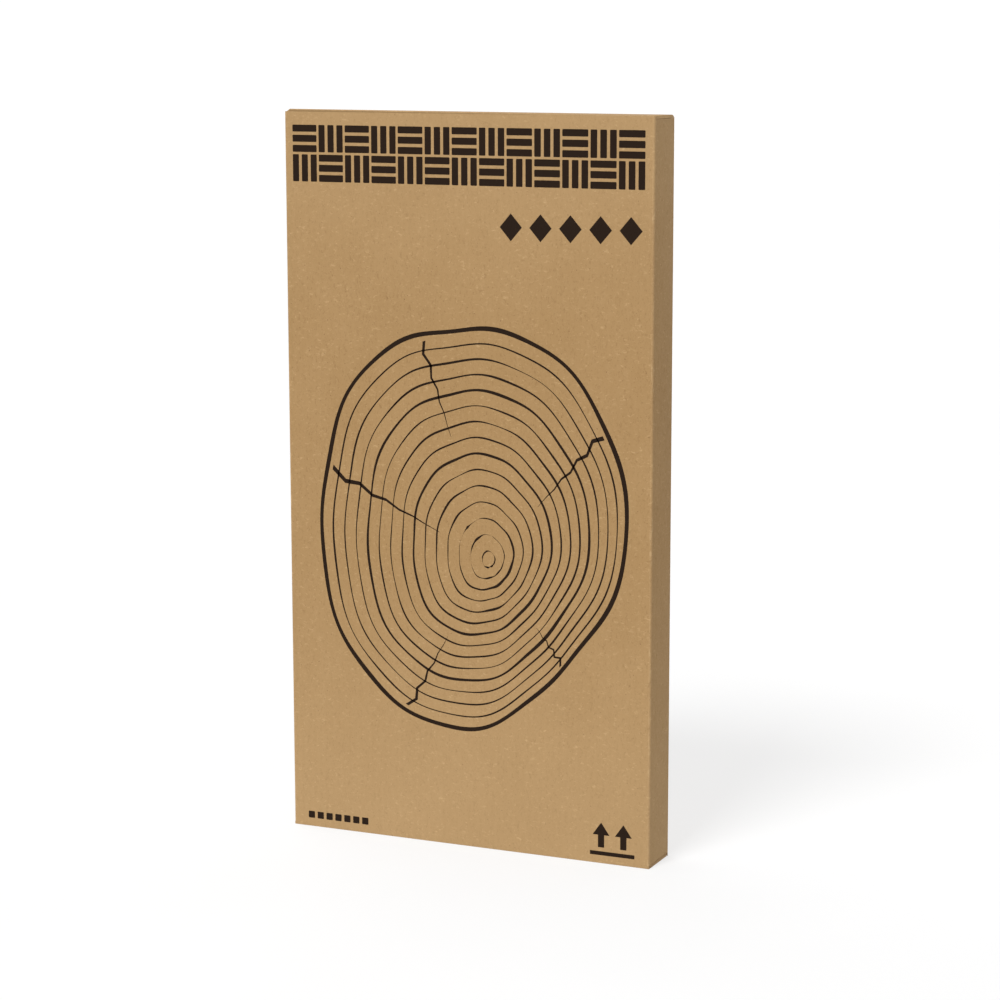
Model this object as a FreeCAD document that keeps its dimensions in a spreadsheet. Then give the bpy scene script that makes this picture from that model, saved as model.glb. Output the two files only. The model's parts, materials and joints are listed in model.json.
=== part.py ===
"""Boxed charging station organizer: a closed tuck-top carton with a bamboo organizer inside.

FreeCAD macro, in millimetres. The carton stands on its lower end with +Z up and its front faces -Y.
Its top closure swings on the upper edge of the back panel and tucks in behind the front panel. The
organizer stands in it with its top towards the front and its charging pad at the lower end.
"""
import FreeCAD, Part
import math
import os
import re
import Sketcher
from FreeCAD import Placement, Rotation, Vector

# The driving dimensions: alias, number and meaning
SIZES = [
    # The organizer's outside, as it lies on a desk
    ("organizer_length", 250, "organizer, left to right"),
    ("organizer_width", 130, "organizer, front to back"),
    ("organizer_thickness", 14, "organizer, without its feet"),
    ("corner_round", 16, "radius of its corners, seen from above"),
    ("top_round", 3, "radius of its upper edge"),
    ("base_round", 1, "radius of its lower edge"),
    # The carton
    ("board", 1, "thickness of the corrugated board"),
    ("side_margin", 4.8, "space between organizer and side panel"),
    ("front_margin", 1.7, "space between organizer and front panel"),
    ("back_margin", 0.2, "space between the organizer's feet and the back panel"),
    ("seat_gap", 0.2, "space under the organizer's lower end"),
    ("head_room", 7.5, "space between the organizer's upper end and the dust flaps"),
    ("layer_gap", 0.1, "space between the layers of an end"),
    ("crease_gap", 0.1, "space at a crease that moves"),
    ("front_step", 0.7, "how far the front panel stops short of the closure's top"),
    ("end_side_gap", 0.2, "how far the closure and the bottom stop short of a side"),
    ("closure_nick", 1.3, "nick at the closure's front corners"),
    ("tuck_clearance", 0.45, "space between tuck flap and front panel"),
    ("tuck_depth", 10, "depth of the tuck flap"),
    ("tuck_end_inset", 1.3, "how far the tuck flap stops short of the closure's ends"),
    ("tuck_round", 6, "radius of the tuck flap's free corners"),
    ("dust_flap_length", 20, "length of a dust flap"),
    ("dust_flap_front", 3.5, "space between dust flap and tuck flap"),
    ("dust_flap_back", 1, "space between dust flap and back panel, at its crease"),
    ("dust_flap_taper", 5, "how much a dust flap narrows towards its tip"),
    ("bottom_relief", 0.6, "space beside a flap of the bottom"),
    ("bottom_taper", 3, "how much the bottom's inner flaps narrow at each side"),
    ("bottom_back_depth", 11, "depth of the bottom's back flap"),
    ("bottom_side_length", 34, "length of the bottom's side flaps"),
    ("glue_flap_width", 12, "width of the glue flap"),
    ("glue_flap_taper", 6, "how much the glue flap narrows at each end"),
    # The recesses in the organizer's top
    ("pad_length", 70, "charging pad, from the left end to the tray"),
    ("end_rim", 7, "rim at the right end of the tray"),
    ("front_rim", 9, "rim in front of the tray"),
    ("tray_depth", 6, "depth of the tray"),
    ("tray_round", 10, "radius of the tray's corners"),
    ("groove_land", 4, "land between tray and pen groove"),
    ("groove_width", 14, "width of the pen groove"),
    ("groove_depth", 6.5, "depth of the pen groove"),
    ("groove_round", 6.5, "radius of the pen groove's ends"),
    ("groove_floor_round", 5, "radius along the pen groove's floor"),
    ("slot_land", 5, "land between pen groove and phone slot"),
    ("slot_width", 11, "width of the phone slot"),
    ("slot_depth", 9, "depth of the phone slot"),
    ("slot_tilt", 12, "lean of the phone slot, in degrees"),
    ("slot_round", 4.5, "radius of the phone slot's ends"),
    ("back_rim", 8, "rim behind the phone slot and the pocket"),
    ("pocket_rim", 8, "rim at the left end of the pocket"),
    ("pocket_land", 6, "land between the pocket and the phone slot"),
    ("pocket_width", 28, "width of the pocket"),
    ("pocket_depth", 10, "depth of the pocket"),
    ("pocket_round", 7, "radius of the pocket's corners"),
    ("mouth_round", 0.8, "radius around the recesses' mouths"),
    ("mat_thickness", 1.2, "thickness of the tray's mat"),
    ("mat_clearance", 0.3, "space around the mat"),
    # The charger under the pad
    ("cover_inset", 4, "cover, from the left end and the front"),
    ("cover_land", 3, "cover, from the tray's left end"),
    ("cover_width", 84, "width of the cover"),
    ("cover_thickness", 1.8, "thickness of the cover"),
    ("cover_round", 9, "radius of the cover's corners"),
    ("cover_clearance", 0.2, "space around the cover"),
    ("cavity_border", 9, "ledge that the cover lies on"),
    ("cavity_round", 5, "radius of the cavity's corners"),
    ("pad_skin", 3, "wood left over the charging coil"),
    ("coil_clearance", 1.5, "space between coil and cavity"),
    ("coil_hole_radius", 10, "inner radius of the coil"),
    ("coil_thickness", 1.4, "thickness of the coil"),
    ("ferrite_border", 1, "how far the ferrite passes the coil"),
    ("ferrite_thickness", 0.8, "thickness of the ferrite"),
    ("post_height", 0.8, "posts under the circuit board"),
    ("post_radius", 2, "radius of a post"),
    ("post_inset", 3, "middle of a post from the board's edges"),
    ("board_clearance", 1.5, "space around the circuit board"),
    ("board_thickness", 1.2, "thickness of the circuit board"),
    ("chip_side", 6, "side of a chip"),
    ("chip_height", 1, "height of a chip"),
    ("capacitor_radius", 1.6, "radius of a capacitor"),
    ("capacitor_height", 2.2, "height of a capacitor"),
    ("component_pitch", 8, "spacing of the components"),
    ("socket_width", 8.9, "width of the socket"),
    ("socket_height", 3.2, "height of the socket"),
    ("socket_length", 7.4, "length of the socket"),
    ("socket_wall", 0.3, "wall of the socket's shell"),
    ("socket_back", 1.2, "thickness of the socket's back"),
    ("tongue_width", 6.7, "width of the socket's tongue"),
    ("tongue_height", 0.7, "thickness of the socket's tongue"),
    ("tongue_inset", 1.2, "tongue, from the socket's mouth"),
    ("socket_inset", 0.5, "socket's mouth from the left end"),
    ("port_clearance", 0.2, "space around the socket"),
    ("bay_clearance", 1.2, "space beside the socket in its bay"),
    ("port_wall", 3, "wall that the port goes through"),
    ("screw_inset", 5.5, "middle of a screw from the cover's edges"),
    ("screw_radius", 1.2, "radius of a screw's shank"),
    ("screw_head_radius", 2.3, "radius of a screw's head"),
    ("screw_head_height", 1.2, "height of a screw's head"),
    ("screw_length", 7, "length of a screw"),
    ("screw_clearance", 0.1, "space around a screw"),
    ("foot_radius", 5, "radius of a rubber foot"),
    ("foot_height", 1, "height of a rubber foot"),
    ("foot_inset", 17, "middle of a foot from the organizer's edges"),
]

# Lengths that follow from the sizes
WIDTH = "(organizer_width + 2 * side_margin + 2 * board)"
FOOT = "(3 * board + 2 * layer_gap)"
HEAD = "(2 * board + layer_gap)"
HEIGHT = f"(organizer_length + seat_gap + head_room + {FOOT} + {HEAD})"
DEPTH = "(organizer_thickness + foot_height + front_margin + back_margin + 2 * board)"
LEFT = f"(-{WIDTH} / 2)"
FRONT = f"(-{DEPTH} / 2)"
FRONT_INSIDE = f"({FRONT} + board)"
BACK_INSIDE = f"({DEPTH} / 2 - board)"
INSIDE_DEPTH = f"({DEPTH} - 2 * board)"
SIDE_STEP = "(board + layer_gap)"
END_RUN = f"({WIDTH} - 2 * end_side_gap)"

SLOT_MOUTH = "(slot_width / cos(slot_tilt * 1 deg))"
SLOT_FRONT = f"(organizer_width - back_rim - {SLOT_MOUTH})"
GROOVE_BACK = f"({SLOT_FRONT} - slot_land)"
TRAY_BACK = f"({GROOVE_BACK} - groove_width - groove_land)"
TRAY_RIGHT = "(organizer_length - end_rim)"
TRAY_FLOOR = "(organizer_thickness - tray_depth)"
POCKET_BACK = "(organizer_width - back_rim)"

COVER_LENGTH = "(pad_length - cover_land - cover_inset)"
COVER_FAR = (f"(cover_inset + {COVER_LENGTH})", "(cover_inset + cover_width)")
CAVITY_NEAR = "(cover_inset + cavity_border)"
CAVITY_FAR = tuple(f"({text} - cavity_border)" for text in COVER_FAR)
CAVITY_TOP = "(organizer_thickness - pad_skin)"
COIL_RADIUS = f"({COVER_LENGTH} / 2 - cavity_border - coil_clearance)"
PAD_MIDDLE = (f"(cover_inset + {COVER_LENGTH} / 2)", "(cover_inset + cover_width / 2)")
BOARD_BASE = "(cover_thickness + post_height)"
BOARD_TOP = f"({BOARD_BASE} + board_thickness)"
BAY_HALF = "(socket_width / 2 + bay_clearance)"

# The organizer's length runs up the carton, its back edge is on the left and its top faces the front
IN_CARTON = Rotation(Vector(0, 0, 1), Vector(-1, 0, 0), Vector(0, -1, 0), "XYZ")
IN_CARTON_PLACE = (
    f"{WIDTH} / 2 - board - side_margin",
    f"{BACK_INSIDE} - back_margin - foot_height",
    f"{FOOT} + seat_gap",
)
# An upright panel's outline is drawn as seen from the front, and padded towards the front
FACING = Rotation(Vector(1, 0, 0), Vector(0, 0, 1), Vector(0, -1, 0), "XYZ")
CLOSE = 0.001
ROUGH_CENTRE = Vector(2, 2, 0)  # middle of a sketch's first rough outline, clear of its axes, mm

doc = FreeCAD.newDocument("BoxedOrganizer")
sheet = doc.addObject("Spreadsheet::Sheet", "Sizes")
for row, (alias, number, meaning) in enumerate(SIZES, start=1):
    sheet.set(f"A{row}", meaning)
    sheet.set(f"B{row}", str(number))
    sheet.setAlias(f"B{row}", alias)
doc.recompute()
sub_parts = []


def formula(text):
    """Return the text with each size's name written as a cell of the sheet."""
    return re.sub(r"\b(?!deg\b)[a-z_]+\b(?!\()", r"Sizes.\g<0>", text)


def bind(thing, sizes):
    """Bind properties of an object to formulas."""
    for name, text in sizes.items():
        thing.setExpression(name, formula(text))


def place(thing, x, y, z):
    """Bind an object's position to formulas."""
    bind(thing, {"Placement.Base.x": x, "Placement.Base.y": y, "Placement.Base.z": z})


def place_in_carton(thing):
    """Turn an object from the organizer's desk frame into the carton."""
    thing.Placement = Placement(Vector(), IN_CARTON)
    place(thing, *IN_CARTON_PLACE)


def keep(thing, label):
    """Name an object as a sub-part."""
    thing.Label = label
    sub_parts.append(thing)
    return thing


def box(name, corner, extents):
    """Make a box from its lowest corner and its extents along X, Y and Z."""
    made = doc.addObject("Part::Box", name)
    bind(made, dict(zip(("Length", "Width", "Height"), extents)))
    place(made, *corner)
    return made


def cylinder(name, base, radius, height):
    """Make an upright cylinder."""
    made = doc.addObject("Part::Cylinder", name)
    bind(made, {"Radius": radius, "Height": height})
    place(made, *base)
    return made


def joined(kind, name, first, second):
    """Make a boolean of two objects."""
    made = doc.addObject(kind, name)
    made.Base = first
    made.Tool = second
    return made


def group(label, members):
    """Make one sub-part from separate solids in the organizer's desk frame."""
    made = doc.addObject("Part::Compound", label)
    made.Links = members
    place_in_carton(made)
    return keep(made, label)


def new_body(label):
    """Make an empty body for a sub-part."""
    return keep(doc.addObject("PartDesign::Body", label), label)


def new_sketch(body, level):
    """Make a sketch on the body's XY plane, raised to a level."""
    sketch = body.newObject("Sketcher::SketchObject", f"{body.Name}_sketch")
    plane = [item for item in body.Origin.OriginFeatures if item.Role == "XY_Plane"][0]
    sketch.AttachmentSupport = [(plane, "")]
    sketch.MapMode = "FlatFace"
    bind(sketch, {"AttachmentOffset.Base.z": level})
    return sketch


def tie(sketch, kind, geometry, point, text):
    """Hold one coordinate of a point, on its axis or at a distance from the origin."""
    if text == "0":
        axis = -2 if kind == "DistanceX" else -1
        sketch.addConstraint(Sketcher.Constraint("PointOnObject", geometry, point, axis))
        return
    index = sketch.addConstraint(Sketcher.Constraint(kind, -1, 1, geometry, point, 1.0))
    sketch.setExpression(f"Constraints[{index}]", formula(text))


def outline(body, points, level="0"):
    """Sketch a closed outline of straight lines through points given as formulas."""
    sketch = new_sketch(body, level)
    count = len(points)
    start = []
    for i in range(count):
        angle = math.tau * i / count
        start.append(ROUGH_CENTRE + Vector(math.cos(angle), math.sin(angle), 0))
    for i in range(count):
        sketch.addGeometry(Part.LineSegment(start[i], start[(i + 1) % count]))
    for i in range(count):
        sketch.addConstraint(Sketcher.Constraint("Coincident", i, 2, (i + 1) % count, 1))
    for i, (x, y) in enumerate(points):
        tie(sketch, "DistanceX", i, 1, x)
        tie(sketch, "DistanceY", i, 1, y)
    doc.recompute()
    return sketch


def rectangle(body, near, far, level="0"):
    """Sketch a rectangle between two opposite corners."""
    return outline(body, [near, (far[0], near[1]), far, (near[0], far[1])], level)


def pad(body, sketch, length):
    """Pad a sketch upwards."""
    made = body.newObject("PartDesign::Pad", f"{body.Name}_pad")
    made.Profile = sketch
    bind(made, {"Length": length})
    sketch.Visibility = False
    doc.recompute()
    return made


def pocket(body, sketch, depth, upwards=False):
    """Cut a sketch's shape downwards, or upwards into the solid, and check that it cuts."""
    before = body.Shape.Volume
    made = body.newObject("PartDesign::Pocket", f"{body.Name}_pocket")
    made.Profile = sketch
    made.Reversed = upwards
    bind(made, {"Length": depth})
    doc.recompute()
    if body.Shape.Volume > before - CLOSE:
        raise RuntimeError(f"a pocket in {body.Label} cuts nothing")
    return made


def cutter(body, kind, sizes, base, turn=None):
    """Cut a primitive out of a body."""
    made = body.newObject(f"PartDesign::Subtractive{kind}", f"{body.Name}_{kind.lower()}_cut")
    if turn is not None:
        made.Placement = Placement(Vector(), turn)
    bind(made, sizes)
    place(made, *base)
    doc.recompute()
    return made


def edges_where(body, test):
    """Name the edges of a body's last feature that pass a test."""
    edges = body.Tip.Shape.Edges
    return [f"Edge{number}" for number, edge in enumerate(edges, start=1) if test(edge)]


def dress(body, kind, names, sizes):
    """Fillet or chamfer named edges of a body's last feature."""
    base = body.Tip
    made = body.newObject(f"PartDesign::{kind}", f"{body.Name}_{kind.lower()}")
    made.Base = (base, names)
    bind(made, sizes)
    doc.recompute()
    return made


def runs_along(edge, direction):
    """Tell whether an edge is straight and parallel to a direction."""
    if not isinstance(edge.Curve, Part.Line):
        return False
    return edge.Curve.Direction.cross(direction).Length < CLOSE


def lies_at(edge, level):
    """Tell whether a whole edge lies at one height."""
    box_of_edge = edge.BoundBox
    return abs(box_of_edge.ZMin - level) < CLOSE and abs(box_of_edge.ZMax - level) < CLOSE


def round_corners(body, sketch, radius):
    """Fillet the upright edges at a sketch's corners."""
    corners = [line.StartPoint for line in sketch.Geometry]

    def at_corner(edge):
        if not runs_along(edge, Vector(0, 0, 1)):
            return False
        spot = edge.Vertexes[0].Point
        return any(math.hypot(spot.x - c.x, spot.y - c.y) < CLOSE for c in corners)

    return dress(body, "Fillet", edges_where(body, at_corner), {"Radius": radius})


def on_rim(edge, body):
    """Tell whether an edge borders the rounded rim of the organizer's top."""
    outside = body.Shape.BoundBox
    inset = sheet.top_round + CLOSE
    inside = FreeCAD.BoundBox(outside.XMin + inset, outside.YMin + inset, outside.ZMin,
                              outside.XMax - inset, outside.YMax - inset, outside.ZMax)
    return not all(inside.isInside(vertex.Point) for vertex in edge.Vertexes)


def lying_panel(label, points, corner):
    """Make a panel of board from its outline seen from above."""
    body = new_body(label)
    pad(body, outline(body, points), "board")
    place(body, *corner)


def upright_panel(label, points, corner):
    """Make a panel of board from its outline seen from the front; the corner is at its back."""
    body = new_body(label)
    pad(body, outline(body, points), "board")
    body.Placement = Placement(Vector(), FACING)
    place(body, *corner)
    return body


def tube():
    """The front, the back, the two sides, and the flap of the left side that is glued to the back."""
    front = box("front_panel", (LEFT, FRONT, "0"), (WIDTH, "board", f"{HEIGHT} - front_step"))
    keep(front, "front_panel")
    back_height = f"{HEIGHT} - board - crease_gap"
    keep(box("back_panel", (LEFT, BACK_INSIDE, "0"), (WIDTH, "board", back_height)), "back_panel")
    side_size = ("board", INSIDE_DEPTH, f"{HEIGHT} - 2 * {SIDE_STEP}")
    for side, x in (("left", LEFT), ("right", f"{WIDTH} / 2 - board")):
        label = f"{side}_panel"
        keep(box(label, (x, FRONT_INSIDE, SIDE_STEP), side_size), label)
    run = f"({HEIGHT} - {FOOT} - {HEAD} - 2 * layer_gap)"
    points = [("0", "0"), ("glue_flap_width", "glue_flap_taper")]
    points += [("glue_flap_width", f"{run} - glue_flap_taper"), ("0", run)]
    upright_panel("glue_flap", points, (f"{LEFT} + board", BACK_INSIDE, f"{FOOT} + layer_gap"))


def side_flap(label, side, length, root, tip, level):
    """A flap folded in from a side panel; root and tip give its front and back edge."""
    if side == "left":
        points = [("0", root[0]), (length, tip[0]), (length, tip[1]), ("0", root[1])]
        x = f"{LEFT} + board + crease_gap"
    else:
        points = [("0", tip[0]), (length, root[0]), (length, root[1]), ("0", tip[1])]
        x = f"{WIDTH} / 2 - board - crease_gap - {length}"
    lying_panel(label, points, (x, FRONT_INSIDE, level))


def bottom():
    """The bottom, folded and locked in the order back, sides, front."""
    run = f"({WIDTH} - 2 * board - 2 * bottom_relief)"
    points = [("bottom_taper", "0"), (f"{run} - bottom_taper", "0")]
    points += [(run, "bottom_back_depth"), ("0", "bottom_back_depth")]
    corner = (f"{LEFT} + board + bottom_relief", f"{BACK_INSIDE} - bottom_back_depth",
              "2 * board + 2 * layer_gap")
    lying_panel("bottom_back_flap", points, corner)
    root = ("bottom_relief", f"{INSIDE_DEPTH} - bottom_relief")
    tip = ("bottom_relief + bottom_taper", f"{INSIDE_DEPTH} - bottom_relief - bottom_taper")
    for side in ("left", "right"):
        side_flap(f"bottom_{side}_flap", side, "bottom_side_length", root, tip, SIDE_STEP)
    corner = (f"{LEFT} + end_side_gap", FRONT_INSIDE, "0")
    label = "bottom_front_flap"
    keep(box(label, corner, (END_RUN, f"{INSIDE_DEPTH} - layer_gap", "board")), label)


def top():
    """The top closure, its tuck flap, and the two dust flaps under it."""
    depth = f"({DEPTH} - board - tuck_clearance)"
    points = [("closure_nick", "0"), (f"{END_RUN} - closure_nick", "0"), (END_RUN, "closure_nick")]
    points += [(END_RUN, depth), ("0", depth), ("0", "closure_nick")]
    left = f"({LEFT} + end_side_gap)"
    lying_panel("top_closure", points, (left, f"{FRONT_INSIDE} + tuck_clearance", f"{HEIGHT} - board"))

    run = f"({END_RUN} - 2 * tuck_end_inset)"
    rise = "(tuck_depth - board - crease_gap)"
    corner = (f"{left} + tuck_end_inset", f"{FRONT_INSIDE} + tuck_clearance + board",
              f"{HEIGHT} - tuck_depth")
    flap = upright_panel("tuck_flap", [("0", "0"), (run, "0"), (run, rise), ("0", rise)], corner)
    through = Vector(0, 0, 1)
    free = edges_where(flap, lambda e: runs_along(e, through) and abs(e.Vertexes[0].Y) < CLOSE)
    dress(flap, "Fillet", free, {"Radius": "tuck_round"})

    front = "(tuck_clearance + board + dust_flap_front)"
    back = f"({INSIDE_DEPTH} - dust_flap_back)"
    for side in ("left", "right"):
        tip = (front, f"{back} - dust_flap_taper")
        side_flap(f"dust_flap_{side}", side, "dust_flap_length", (front, back), tip, f"{HEIGHT} - {HEAD}")


def screw_places():
    """Give the middles of the cover's four screws."""
    for x in ("(cover_inset + screw_inset)", f"({COVER_FAR[0]} - screw_inset)"):
        for y in ("(cover_inset + screw_inset)", "(cover_inset + cover_width - screw_inset)"):
            yield x, y


def bamboo_body():
    """The milled bamboo: its slab, the recesses in its top and the charger's space below."""
    body = new_body("bamboo_body")
    slab = rectangle(body, ("0", "0"), ("organizer_length", "organizer_width"))
    pad(body, slab, "organizer_thickness")
    round_corners(body, slab, "corner_round")
    top = body.Shape.BoundBox.ZMax
    dress(body, "Fillet", edges_where(body, lambda e: lies_at(e, top)), {"Radius": "top_round"})
    dress(body, "Fillet", edges_where(body, lambda e: lies_at(e, 0)), {"Radius": "base_round"})

    tray = rectangle(body, ("pad_length", "front_rim"), (TRAY_RIGHT, TRAY_BACK), "organizer_thickness")
    pocket(body, tray, "tray_depth")
    round_corners(body, tray, "tray_round")
    near = ("pocket_rim", f"{POCKET_BACK} - pocket_width")
    hold = rectangle(body, near, ("pad_length - pocket_land", POCKET_BACK), "organizer_thickness")
    pocket(body, hold, "pocket_depth")
    round_corners(body, hold, "pocket_round")

    near = ("pad_length", f"{GROOVE_BACK} - groove_width")
    groove = rectangle(body, near, (TRAY_RIGHT, GROOVE_BACK), "organizer_thickness")
    pocket(body, groove, "groove_depth")
    round_corners(body, groove, "groove_round")
    floor = sheet.organizer_thickness - sheet.groove_depth
    dress(body, "Fillet", edges_where(body, lambda e: lies_at(e, floor)), {"Radius": "groove_floor_round"})

    lean = Rotation(Vector(1, 0, 0), -sheet.slot_tilt)
    foot = (f"{SLOT_FRONT} - slot_depth * sin(slot_tilt * 1 deg)",
            "organizer_thickness - slot_depth * cos(slot_tilt * 1 deg)")
    run = f"({TRAY_RIGHT} - pad_length)"
    sizes = {"Length": run, "Width": "slot_width", "Height": "slot_depth + slot_width"}
    cutter(body, "Box", sizes, ("pad_length", *foot), lean)
    leaning = lean.multVec(Vector(0, 0, 1))
    dress(body, "Fillet", edges_where(body, lambda e: runs_along(e, leaning)), {"Radius": "slot_round"})
    mouths = edges_where(body, lambda e: lies_at(e, top) and not on_rim(e, body))
    dress(body, "Fillet", mouths, {"Radius": "mouth_round"})

    charger_space(body)
    place_in_carton(body)


def charger_space(body):
    """Cut the cover's seat, the cavity, the socket's bay and port, and the screw holes."""
    low = "cover_inset - cover_clearance"
    far = tuple(f"{text} + cover_clearance" for text in COVER_FAR)
    seat = rectangle(body, (low, low), far)
    pocket(body, seat, "cover_thickness", upwards=True)
    round_corners(body, seat, "cover_round + cover_clearance")
    cavity = rectangle(body, (CAVITY_NEAR, CAVITY_NEAR), CAVITY_FAR)
    pocket(body, cavity, CAVITY_TOP, upwards=True)
    round_corners(body, cavity, "cavity_round")

    middle = PAD_MIDDLE[1]
    bay_far = (CAVITY_NEAR, f"{middle} + {BAY_HALF}")
    bay = rectangle(body, ("port_wall", f"{middle} - {BAY_HALF}"), bay_far)
    pocket(body, bay, f"{BOARD_TOP} + socket_height + bay_clearance", upwards=True)
    sizes = {"Length": "2 * port_wall", "Width": "socket_width + 2 * port_clearance",
             "Height": "socket_height + 2 * port_clearance"}
    port_front = f"{middle} - socket_width / 2 - port_clearance"
    corner = ("-port_wall", port_front, f"{BOARD_TOP} - port_clearance")
    cutter(body, "Box", sizes, corner)
    for x, y in screw_places():
        sizes = {"Radius": "screw_radius + screw_clearance", "Height": "screw_length + screw_clearance"}
        cutter(body, "Cylinder", sizes, (x, y, "0"))


def tray_mat():
    """The mat on the tray's floor."""
    body = new_body("tray_mat")
    near = ("pad_length + mat_clearance", "front_rim + mat_clearance")
    far = (f"{TRAY_RIGHT} - mat_clearance", f"{TRAY_BACK} - mat_clearance")
    shape = rectangle(body, near, far, TRAY_FLOOR)
    pad(body, shape, "mat_thickness")
    round_corners(body, shape, "tray_round - mat_clearance")
    place_in_carton(body)


def charger_cover():
    """The cover on the underside, with countersunk holes and posts for the circuit board."""
    body = new_body("charger_cover")
    plate = rectangle(body, ("cover_inset", "cover_inset"), COVER_FAR)
    pad(body, plate, "cover_thickness")
    round_corners(body, plate, "cover_round")
    for x, y in screw_places():
        sizes = {"Radius": "screw_radius + screw_clearance", "Height": "cover_thickness"}
        cutter(body, "Cylinder", sizes, (x, y, "0"))
        sizes = {"Radius1": "screw_head_radius + screw_clearance",
                 "Radius2": "screw_radius + screw_clearance",
                 "Height": "screw_head_height"}
        cutter(body, "Cone", sizes, (x, y, "0"))
    inset = "(board_clearance + post_inset)"
    for x in (f"{CAVITY_NEAR} + {inset}", f"{CAVITY_FAR[0]} - {inset}"):
        for y in (f"{CAVITY_NEAR} + {inset}", f"{CAVITY_FAR[1]} - {inset}"):
            post = body.newObject("PartDesign::AdditiveCylinder", "post")
            bind(post, {"Radius": "post_radius", "Height": "post_height"})
            place(post, x, y, "cover_thickness")
            doc.recompute()
    place_in_carton(body)


def charging_coil():
    """The coil under the pad's skin, and the ferrite behind it."""
    base = (*PAD_MIDDLE, f"{CAVITY_TOP} - coil_thickness")
    outer = cylinder("coil_outside", base, COIL_RADIUS, "coil_thickness")
    inner = cylinder("coil_hole", base, "coil_hole_radius", "coil_thickness")
    ring = joined("Part::Cut", "charging_coil", outer, inner)
    place_in_carton(ring)
    keep(ring, "charging_coil")
    base = (*PAD_MIDDLE, f"{CAVITY_TOP} - coil_thickness - ferrite_thickness")
    disc = cylinder("ferrite_disc", base, f"{COIL_RADIUS} + ferrite_border", "ferrite_thickness")
    group("ferrite_shield", [disc])


def circuit_board():
    """The circuit board, with a tongue that carries the socket, and the components on it."""
    body = new_body("circuit_board")
    near = f"({CAVITY_NEAR} + board_clearance)"
    right, back = (f"({text} - board_clearance)" for text in CAVITY_FAR)
    tongue = ("(socket_inset + port_wall)", f"({PAD_MIDDLE[1]} - socket_width / 2)",
              f"({PAD_MIDDLE[1]} + socket_width / 2)")
    points = [(near, near), (right, near), (right, back), (near, back)]
    points += [(near, tongue[2]), (tongue[0], tongue[2]), (tongue[0], tongue[1]), (near, tongue[1])]
    pad(body, outline(body, points, BOARD_BASE), "board_thickness")
    place_in_carton(body)

    members = []
    for step in (-1, 0, 1):
        x = f"({PAD_MIDDLE[0]} + {step} * component_pitch)"
        spot = (f"{x} - chip_side / 2", f"{PAD_MIDDLE[1]} - component_pitch - chip_side / 2", BOARD_TOP)
        members.append(box("chip", spot, ("chip_side", "chip_side", "chip_height")))
        spot = (x, f"{PAD_MIDDLE[1]} + component_pitch", BOARD_TOP)
        members.append(cylinder("capacitor", spot, "capacitor_radius", "capacitor_height"))
    group("board_components", members)


def usb_socket():
    """The socket's shell and tongue, on the circuit board behind the port."""
    low = (f"({PAD_MIDDLE[1]} - socket_width / 2)", BOARD_TOP)
    outer = ("socket_length", "socket_width", "socket_height")
    shell = box("socket_outside", ("socket_inset", *low), outer)
    inner = ("socket_length - socket_back", "socket_width - 2 * socket_wall",
             "socket_height - 2 * socket_wall")
    corner = ("socket_inset", f"{low[0]} + socket_wall", f"{low[1]} + socket_wall")
    shell = joined("Part::Cut", "socket_shell", shell, box("socket_inside", corner, inner))
    corner = ("socket_inset + tongue_inset", f"{PAD_MIDDLE[1]} - tongue_width / 2",
              f"{BOARD_TOP} + socket_height / 2 - tongue_height / 2")
    tongue_size = ("socket_length - tongue_inset", "tongue_width", "tongue_height")
    tongue = box("socket_tongue", corner, tongue_size)
    socket = joined("Part::Fuse", "usb_socket", shell, tongue)
    place_in_carton(socket)
    keep(socket, "usb_socket")


def cover_screws():
    """The four countersunk screws that hold the cover."""
    members = []
    for x, y in screw_places():
        foot = (x, y, "screw_head_height")
        shank = cylinder("screw_shank", foot, "screw_radius", "screw_length - screw_head_height")
        head = doc.addObject("Part::Cone", "screw_head")
        sizes = {"Radius1": "screw_head_radius", "Radius2": "screw_radius", "Height": "screw_head_height"}
        bind(head, sizes)
        place(head, x, y, "0")
        members.append(joined("Part::Fuse", "screw", head, shank))
    group("cover_screws", members)


def rubber_feet():
    """The four feet, stuck to the underside."""
    members = []
    for x in ("foot_inset", "organizer_length - foot_inset"):
        for y in ("foot_inset", "organizer_width - foot_inset"):
            members.append(cylinder("foot", (x, y, "-foot_height"), "foot_radius", "foot_height"))
    group("rubber_feet", members)


tube()
bottom()
top()
bamboo_body()
tray_mat()
charger_cover()
charging_coil()
circuit_board()
usb_socket()
cover_screws()
rubber_feet()
doc.recompute()

os.makedirs("parts", exist_ok=True)
for thing in doc.Objects:
    if "Invalid" in thing.State or "Error" in thing.State:
        raise RuntimeError(f"{thing.Label} did not build")
for thing in sub_parts:
    if thing.Shape.isNull() or not thing.Shape.isValid():
        raise RuntimeError(f"{thing.Label} has no valid shape")
    thing.Shape.exportStep(f"parts/{thing.Label}.step")
    print(thing.Label, len(thing.Shape.Solids), round(thing.Shape.Volume, 1))
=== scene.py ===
"""Looks of the boxed charging station organizer: folded kraft board, print, bamboo and felt, in a studio."""
import json
import math

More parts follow.
